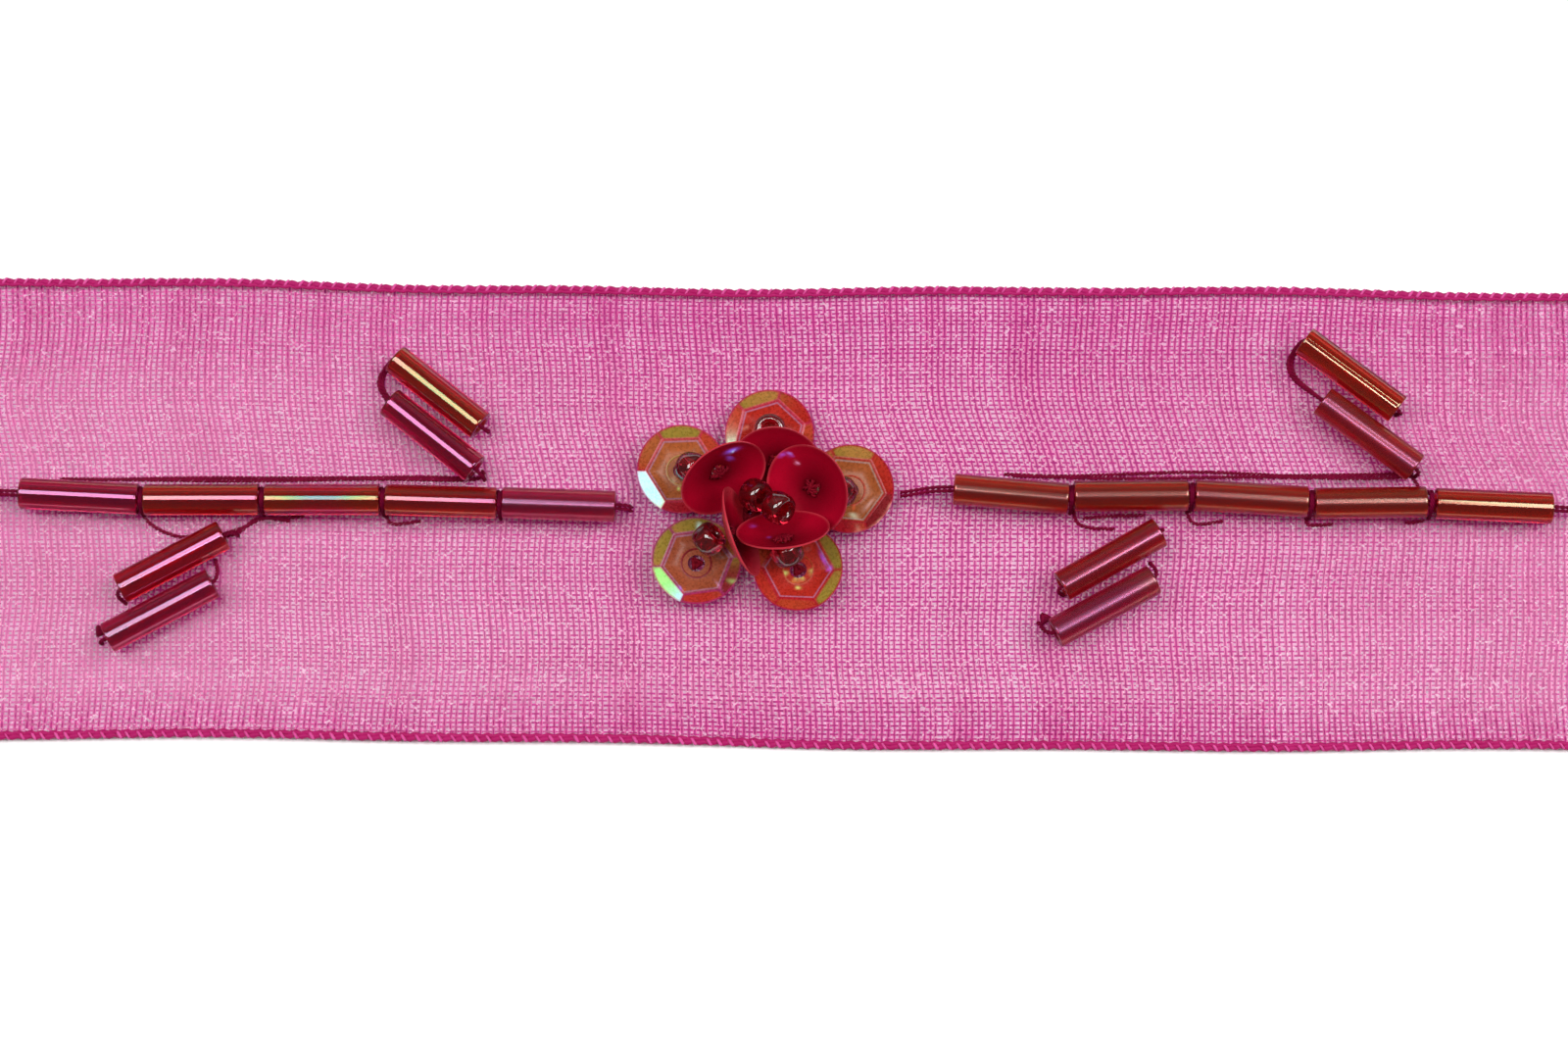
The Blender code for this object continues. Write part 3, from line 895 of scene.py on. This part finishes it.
def paintCup(piece, facets, floor, lip, shines, ringCount, values):
    # each facet's colour turns from its first end to its last; mint, cyan and lime facets also glow as painted
    # lamp reflections, and shines holds one painted-highlight glow for each point
    colours = piece.data.color_attributes.new("coat", "FLOAT_COLOR", "CORNER")
    glows = piece.data.color_attributes.new("shine", "FLOAT_COLOR", "CORNER")
    last, sides = ringCount - 1, values["sides"]
    perFacet = sides // 6
    for face in piece.data.polygons:
        ring = face.index // sides
        facet = (face.index % sides) // perFacet
        level = min(ring, 2 * last - ring)
        for loop in face.loop_indices:
            point = piece.data.loops[loop].vertex_index
            start, stop = (floor, floor) if level < last - 4 else facets[facet]
            if level in (1, 2):
                start, stop = lip, lip
            share = (((point % sides - facet * perFacet) % sides) / perFacet) ** values["turning"]
            colour = np.array(coatAndReflectionColours[start]) * (1 - share) + np.array(coatAndReflectionColours[stop]) * share
            glow = reflectionGlow.get(start, 0.0) * (1 - share) + reflectionGlow.get(stop, 0.0) * share
            colours.data[loop].color = (*colour, 1)
            glows.data[loop].color = (*(colour * glow + shines[point]), 1)


def makeCup(node, values):
    corner, facets, floor, lip, border, creaseHighlight = cupSet[node]
    points = nodePoints(node)
    middle, normal = frameOf(points, False)
    turn = Vector((0, 0, 1)).rotation_difference(normal).to_matrix().to_4x4()
    flatSide = values["corner"] * math.cos(math.radians(30))
    rings = cupRings(flatSide, values)
    thick = Vector((0, 0, values["thick"]))
    loops = rings + [[point - thick for point in ring] for ring in reversed(rings)]
    shape = [point for ring in loops for point in ring]
    material, film = filmMaterial("film_" + node, values, {"Rim Start": values["rimStart"]})
    nodes, links = material.node_tree.nodes, material.node_tree.links
    pressed = useGroup(nodes, facetGroup, {"Border": (*coatAndReflectionColours[border], 1),
                                           "Line": (*coatAndReflectionColours[creaseHighlight], 1), "Crease": flatSide / mm})
    links.new(readAttribute(nodes, "coat", "Color"), pressed.inputs["Colour"])
    links.new(pressed.outputs["Colour"], film.inputs["Body"])
    piece = makePiece(node + "_film", shape, ringFaces(len(loops), values["sides"]), material, "cup_film")
    spots = [(reach, heading - corner, length, width, slant - corner, name, strength)
             for reach, heading, length, width, slant, name, strength in cupShine[node]]
    shines = shineOf(np.array([tuple(point) for point in shape]) / mm, spots)
    paintCup(piece, facets, floor, lip, shines, len(rings), values)
    piece.data.set_sharp_from_angle(angle=math.radians(20))
    lowest = min((turn @ point).z for point in shape)
    base = Vector((middle.x, middle.y, points[:, 2].min() - lowest))
    piece.matrix_world = Matrix.Translation(base) @ turn @ Matrix.Rotation(math.radians(corner), 4, "Z")
    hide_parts(node)


for node in cupSet:
    makeCup(node, cupLook)
    makeSeed(node + "_seed", seedLook["cupGlass"], seedLook)
print("outer sequins made:", len(cupSet))

for node in ("seed_centre_1", "seed_centre_2"):
    makeSeed(node, seedLook["centreGlass"], seedLook)
print("seed beads made")


# the rose's petals

petalLook = {
    "radius": 2.50 * mm,
    "hole": 0.40 * mm,
    "depth": 0.68 * mm,
    "thick": 0.10 * mm,
    "sides": 72,
    "rings": 14,
    "body": (0.38, 0.0015, 0.018),
    "rim": (0.50, 0.030, 0.05),
    "heart": 0.32,                 # painted shade: how much of its brightness a petal keeps next to its hole
    "steepHoleShade": 0.12,            # the same painted shade for the petal that stands on edge
    "rimStart": 2.36,              # where the paler rim begins and is full, in millimetres
    # painted lit side: the petal that stands on edge turns paler from here, a wide band towards its rim
    "steepLitBandStart": 1.7,
    "rimEnd": 2.48,
    "mottle": 0.06,
    "dullness": 0.20,
    "bump": 0.2,
    "bumpDepth": 0.03 * mm,
    "through": 0.0,
    "index": 1.5,
    "gloss": 0.10,
}
# painted highlights on the petals: glowing spots of shine as on the outer sequins, but round each petal's own
# hole
petalShine = {
    "petal_top_left": ((1.62, 80, 0.75, 0.42, 30, "violet", 0.9), (1.55, 76, 0.30, 0.18, 60, "cyan", 0.5),
                       (0.98, 64, 0.55, 0.22, 150, "violet", 0.5)),
    "petal_right": ((2.30, 124, 0.55, 0.14, 25, "violet", 0.7), (2.12, 116, 0.26, 0.26, 0, "violet", 0.8),
                    (2.12, 114, 0.12, 0.12, 0, "cyan", 0.5), (1.55, 116, 0.22, 0.22, 0, "lilac", 1.0)),
    "petal_front": ((2.05, 146, 0.40, 0.22, 60, "violet", 0.28), (0.90, 158, 0.30, 0.14, 60, "violet", 0.2)),
}
petalNodes = ("petal_right", "petal_back", "petal_top_left", "petal_front_left", "petal_front")


def makePetal(node, material, values):
    points = nodePoints(node)
    # the solid's rim: its widest points give the middle and the open side
    _, normal = frameOf(points, False)
    turn = Vector((0, 0, 1)).rotation_difference(normal).to_matrix().to_4x4()
    local = np.array([tuple(turn.inverted() @ Vector(point)) for point in points])
    centre = (local.min(axis=0) + local.max(axis=0)) / 2
    middle = turn @ Vector((centre[0], centre[1], local[:, 2].max()))
    profile = []
    for share in np.linspace(values["hole"] / values["radius"], 1.0, values["rings"]):
        profile.append((share * values["radius"], (share * share - 1) * values["depth"]))
    profile += [(radius, height - values["thick"]) for radius, height in reversed(profile)]
    shape, faces = turned(profile, values["sides"])
    piece = makePiece(node + "_film", shape, faces, material, "petal_film")
    upper = np.arange(len(shape)) < len(shape) // 2
    shines = shineOf(np.array(shape) / mm, petalShine.get(node, ())) * upper[:, None]
    colours = np.concatenate([shines, np.ones((len(shape), 1))], axis=1)
    glow = piece.data.color_attributes.new("shine", "FLOAT_COLOR", "POINT")
    glow.data.foreach_set("color", colours.ravel())
    piece.data.set_sharp_from_angle(angle=math.radians(40))
    piece.matrix_world = Matrix.Translation(middle) @ turn
    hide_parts(node)
    return middle, turn


# the petal that stands on edge gets a shaded copy of the film: more painted shade next to its hole and a wide
# paler band as its painted lit side
petalFilm, shadedSteepFilm = (
    filmMaterial(name, petalLook, {"Body": (*petalLook["body"], 1), "Hole Shade": petalLook[heart],
                                   "Rim Start": petalLook[rimStart]})[0]
    for name, heart, rimStart in (("petalFilm", "heart", "rimStart"),
                                  ("petalFilmSteepShaded", "steepHoleShade", "steepLitBandStart")))
petalPlaces = {node: makePetal(node, shadedSteepFilm if node == "petal_front_left" else petalFilm, petalLook)
               for node in petalNodes}
print("petals made:", len(petalPlaces))


# threads

threadLook = {
    "ply": 0.06 * mm,              # the radius of one ply
    "twist": 0.62 * mm,            # one turn of the two plies
    "spacing": 0.075 * mm,
    "apart": 0.10 * mm,            # the two threads of a running stitch lie this far to each side
    "colour": (0.09, 0.0005, 0.012),
    "pale": (0.30, 0.0015, 0.050),
    "roseColour": (0.10, 0.001, 0.007),
    "rosePale": (0.28, 0.002, 0.016),
}
threadYarn = yarnMaterial("threadYarn", threadLook["colour"], threadLook["pale"])
roseYarn = yarnMaterial("roseYarn", threadLook["roseColour"], threadLook["rosePale"])


def twoPly(points, values, ply):
    # two plies twisted round each other along a smooth route
    route = smoothRoute(points, values["spacing"])
    along = directions(route)
    across = np.cross(along, np.array((0.0, 0.0, 1.0)))
    across /= np.maximum(np.linalg.norm(across, axis=1, keepdims=True), 1e-9)
    up = np.cross(across, along)
    parts = []
    for start in (0.0, math.pi):
        angle = distances(route) * math.tau / values["twist"] + start
        strand = route + ply * 0.9 * (across * np.cos(angle)[:, None] + up * np.sin(angle)[:, None])
        parts.append(tubeAlong(strand, ply, 5))
    return joined(parts)


def beadEnds(node):
    middle, axis, half = rodOf(node)
    return middle - axis * half, middle + axis * half


def rowRoute(nodes, start, stop, apart):
    # in at the first bead, halfway across each gap, and out of the last bead
    ends = [beadEnds(node) for node in nodes]
    points = [Vector(start), ends[0][0]]
    points += [(before[1] + after[0]) / 2 for before, after in zip(ends, ends[1:])]
    points += [ends[-1][1], Vector(stop)]
    return [tuple(point + Vector((0, apart, 0.3 * apart))) for point in points]


leftRow = ["stem_left_%d" % number for number in range(1, 6)]
rightRow = ["stem_right_%d" % number for number in range(1, 6)]
lay = clothLook["middleHeight"] + 0.2 * mm
leftLow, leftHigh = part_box("running_thread_left")
rightLow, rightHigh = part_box("running_thread_right")
for label, nodes, start, stop in (
    ("running_thread_left", leftRow, (leftLow[0] + 0.1 * mm, 0.75 * mm, lay), (leftHigh[0], 0.0, lay)),
    ("running_thread_right", rightRow, (rightLow[0], 0.95 * mm, lay),
     (rightHigh[0] - 0.1 * mm, 0.20 * mm, lay)),
):
    apart = threadLook["apart"]
    strands = [twoPly(rowRoute(nodes, start, stop, shift), threadLook, threadLook["ply"])
               for shift in (-apart, apart)]
    piece = makePiece(label + "_yarn", *joined(strands), threadYarn, "thread")
    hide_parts(label)
print("running threads laid")


# stitches, wraps, loops and knots

stitchLook = {
    "twist": 0.45 * mm,
    "spacing": 0.07 * mm,
    "wrapOver": 0.50 * mm,         # how far a wrap passes above the running thread
    "wrapSide": 0.72 * mm,
    "footDepth": 0.1 * mm,         # how far a thread goes down into the cloth
    "kneeOut": 0.22 * mm,          # a leaf bead's thread bends down this far beyond its end
    "kneeDrop": 0.25 * mm,
    "endLift": 0.30 * mm,          # how high the loop round two beads' ends lies above the cloth
    "endShifts": (0.0, 0.17),      # its two strands, in millimetres along X
    "holeLift": 0.22 * mm,         # the tangle in each outer sequin's hollow
    "holeTangle": 0.34 * mm,
    "wrapPly": 0.055 * mm,
    "backPly": 0.065 * mm,
    "loopPly": 0.07 * mm,
    "rosePly": 0.065 * mm,
    "knotPly": 0.06 * mm,
}

# routes of the stitches that run in the cloth, in millimetres
backStitches = (
    ((-37.76, 1.40), (-31.92, 1.55), (-25.54, 1.61), (-19.69, 1.71), (-16.60, 1.69), (-16.39, 2.12)),
    ((-39.36, 1.44), (-34.04, 1.43), (-29.26, 1.42), (-22.35, 1.58), (-17.56, 1.57), (-16.39, 1.74)),
    ((-34.67, 0.24), (-34.72, -0.57), (-33.97, -1.25), (-32.74, -1.69), (-31.62, -1.57)),
    ((-30.35, -1.67), (-29.50, -1.39), (-28.65, -0.69), (-27.33, -0.62), (-26.05, -0.50)),
    ((-30.35, -1.51), (-29.24, -1.12), (-28.18, -0.63), (-26.79, -0.78)),
    ((-21.64, 0.35), (-21.58, -0.46), (-21.16, -0.89), (-19.72, -0.72)),
    ((11.95, 2.14), (15.51, 2.07), (21.89, 2.34), (25.45, 2.26), (29.01, 2.13), (33.80, 2.33)),
    ((12.43, 2.04), (18.59, 1.96), (25.45, 2.10), (31.41, 2.07), (34.12, 2.22)),
    ((26.20, 2.16), (32.58, 2.32), (34.12, 2.44)),
    ((34.38, 3.20), (34.12, 2.33), (34.60, 1.47)),
    ((15.73, 0.50), (15.74, -0.09), (16.01, -0.58), (16.70, -0.79), (17.93, -0.83)),
    ((16.22, -0.25), (17.90, -0.12), (19.57, -0.06)),
    ((21.90, 0.55), (21.91, -0.04), (22.39, -0.52), (23.82, -0.35)),
    ((28.34, 0.34), (28.34, -0.25), (28.56, -0.52), (29.78, -0.46)),
    ((33.70, -0.34), (34.20, -0.32), (34.75, -0.20)),
)

# loops from the left end of one leaf bead round to the left end of the next, in millimetres
endLoops = {
    ("leaf_right_high_1", "leaf_right_high_2"): ((27.69, 8.60), (27.75, 7.80), (28.25, 7.20)),
    ("leaf_left_high_1", "leaf_left_high_2"): ((-21.86, 7.35), (-21.96, 6.70), (-21.62, 6.05)),
}

# where the thread of each leaf bead goes down into the cloth at its low and high X ends, in millimetres
leafFeet = {
    "leaf_left_low_1": ((-35.55, -5.35), (-29.60, -1.60)),
    "leaf_left_low_2": ((-36.75, -7.55), (-30.75, -3.00)),
    "leaf_left_high_1": (None, (-16.15, 4.25)),
    "leaf_left_high_2": (None, (-16.30, 1.60)),
    "leaf_right_low_1": ((15.10, -4.50), (20.35, -0.95)),
    "leaf_right_low_2": ((13.80, -6.05), (19.85, -2.75)),
    "leaf_right_high_1": (None, (33.30, 5.60)),
    "leaf_right_high_2": (None, (34.30, 2.20)),
}

# knots and tangles of thread: place and radius, in millimetres
knotPlaces = (
    (-47.45, 0.76, 1.32, 0.26),
    (47.40, 0.20, 1.32, 0.26),
    (-36.75, -6.95, 1.70, 0.30),
    (14.10, -5.85, 1.70, 0.30),
)
tanglePlaces = ((-1.85, -0.45, 2.90, 0.55), (-1.35, 0.20, 2.70, 0.45))


def stitched(name, routes, ply, yarn=threadYarn):
    parts = [twoPly(route, stitchLook, ply) for route in routes]
    makePiece(name, *joined(parts), yarn, "thread")


def knotRoute(middle, radius, turns=9, squash=0.7):
    # a small tangle of thread round one place
    points = []
    for step in range(turns * 4):
        around, along = 2.1 * step, 1.2 * math.sin(1.7 * step)
        points.append((middle[0] + radius * math.cos(around) * math.cos(along),
                       middle[1] + radius * math.sin(around) * math.cos(along),
                       middle[2] + radius * squash * math.sin(along)))
    return points


def onCloth(x, y, lift):
    return (x * mm, y * mm, float(clothHeight(x * mm, y * mm)) + lift)


def makeStitches(values):
    stitched("backStitches", [[onCloth(x, y, 0.0) for x, y in route] for route in backStitches],
             values["backPly"])
    wraps = []
    for row in (leftRow, rightRow):
        for here, following in zip(row, row[1:]):
            before, after = beadEnds(here)[1], beadEnds(following)[0]
            middle = (before + after) / 2
            for shift, tilt in ((-0.055, 0.05), (0.065, -0.05)):
                x, y, z = middle.x + shift * mm, middle.y, middle.z
                side, over = values["wrapSide"], values["wrapOver"]
                floor = float(clothHeight(x, y)) - values["footDepth"]
                wraps.append([(x - tilt * mm, y + side, floor),
                              (x - tilt * mm, y + 0.93 * side, z - 0.25 * mm),
                              (x, y + 0.45 * side, z + 0.72 * over), (x, y, z + over),
                              (x, y - 0.45 * side, z + 0.72 * over),
                              (x + tilt * mm, y - 0.93 * side, z - 0.25 * mm),
                              (x + tilt * mm, y - side, floor)])
    stitched("gapWraps", wraps, values["wrapPly"])
    loops = []
    for node, (lowFoot, highFoot) in leafFeet.items():
        ends = beadEnds(node)
        middle = (ends[0] + ends[1]) / 2
        for end, place in zip(ends, (lowFoot, highFoot)):
            if place is None:
                continue
            out = (end - middle).normalized()
            foot = Vector(onCloth(*place, -values["footDepth"]))
            knee = end + out * values["kneeOut"] + (foot - end) * 0.35
            knee.z = end.z - values["kneeDrop"]
            loops.append([tuple(end - out * 1.2 * mm), tuple(end - out * 0.1 * mm), tuple(knee),
                          tuple(foot + Vector((0, 0, 0.3 * mm))), tuple(foot)])
    for (upper, lower), places in endLoops.items():
        above, below = beadEnds(upper), beadEnds(lower)
        for shift in values["endShifts"]:
            route = [above[0] + (above[1] - above[0]) * 0.15, above[0]]
            route += [Vector(onCloth(x - shift, y, values["endLift"])) for x, y in places]
            route += [below[0], below[0] + (below[1] - below[0]) * 0.15]
            loops.append([tuple(point) for point in route])
    stitched("leafLoops", loops, values["loopPly"])
    crosses = []
    random = np.random.default_rng(3)
    for node, (middle, turn) in petalPlaces.items():
        lift = 0.16 * mm - petalLook["depth"]
        for heading, reach in ((20, 0.55), (110, 0.50), (65, 0.42), (150, 0.36)):
            angle = math.radians(heading + random.uniform(-12, 12))
            way = Vector((math.cos(angle), math.sin(angle), 0)) * reach * mm
            slip = Vector((*random.uniform(-0.08, 0.08, 2), 0)) * mm
            spots = [slip + way * share + Vector((0, 0, lift + rise * mm))
                     for share, rise in ((1.0, -0.06), (0.5, 0.05), (-0.5, 0.07), (-1.0, -0.05))]
            crosses.append([tuple(Matrix.Translation(middle) @ turn @ spot) for spot in spots])
    stitched("roseStitches", crosses, values["rosePly"], roseYarn)
    knots, tangles = ([knotRoute([part * mm for part in place], radius * mm) for *place, radius in places]
                      for places in (knotPlaces, tanglePlaces))
    for node in cupSet:
        low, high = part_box(node)
        hole = ((low[0] + high[0]) / 2, (low[1] + high[1]) / 2, low[2] + values["holeLift"])
        tangles.append(knotRoute(hole, values["holeTangle"], 6, 0.35))
    stitched("knots", knots, values["knotPly"])
    stitched("tangles", tangles, values["knotPly"], roseYarn)


makeStitches(stitchLook)
print("stitches sewn")


# floor and light

lightLook = {
    "floor": (0.93, 0.93, 0.93),
    "floorSide": 3.0,
    "world": 0.08,
}
# each lamp's place, size and power, and whether it is aimed at the middle or faces straight down:
# two broad ones overhead with a gap between, a small one, and a faint panel to the north
lamps = {
    "lampLeft": ((-0.349, 0.05, 0.75), (0.562, 0.36), 4.3, False),
    "lampRight": ((0.4545, 0.05, 0.75), (0.591, 0.36), 5.7, False),
    "lampSmall": ((-0.02, -0.085, 0.75), (0.07, 0.09), 0.30, False),
    "northSky": (0.95 * Vector((0.0, 0.80, 0.55)).normalized(), (1.4, 0.5), 0.36, True),
}


def makeFloor(values):
    side = values["floorSide"]
    mesh = bpy.data.meshes.new("floor")
    corners = [(-side, -side, 0), (side, -side, 0), (side, side, 0), (-side, side, 0)]
    mesh.from_pydata(corners, [], [(0, 1, 2, 3)])
    material, _, _, shader = newMaterial("paper")
    setInputs(shader, {"Base Color": (*values["floor"], 1), "Roughness": 0.9})
    mesh.materials.append(material)
    floor = bpy.data.objects.new("floor", mesh)
    bpy.context.scene.collection.objects.link(floor)


def makeLamp(name, place, size, power, aimed):
    data = bpy.data.lights.new(name, "AREA")
    data.shape = "RECTANGLE"
    data.size, data.size_y = size
    data.energy = power
    lamp = bpy.data.objects.new(name, data)
    lamp.location = place
    if aimed:
        lamp.rotation_mode = "QUATERNION"
        lamp.rotation_quaternion = Vector(place).to_track_quat("Z", "Y")
    bpy.context.scene.collection.objects.link(lamp)


def makeLight(values):
    world = bpy.data.worlds.new("studio")
    world.use_nodes = True
    world.node_tree.nodes["Background"].inputs["Color"].default_value = (1, 1, 1, 1)
    world.node_tree.nodes["Background"].inputs["Strength"].default_value = values["world"]
    bpy.context.scene.world = world
    for name, lamp in lamps.items():
        makeLamp(name, *lamp)
    bpy.context.scene.view_settings.view_transform = "Standard"


makeFloor(lightLook)
makeLight(lightLook)
print("stage lit")
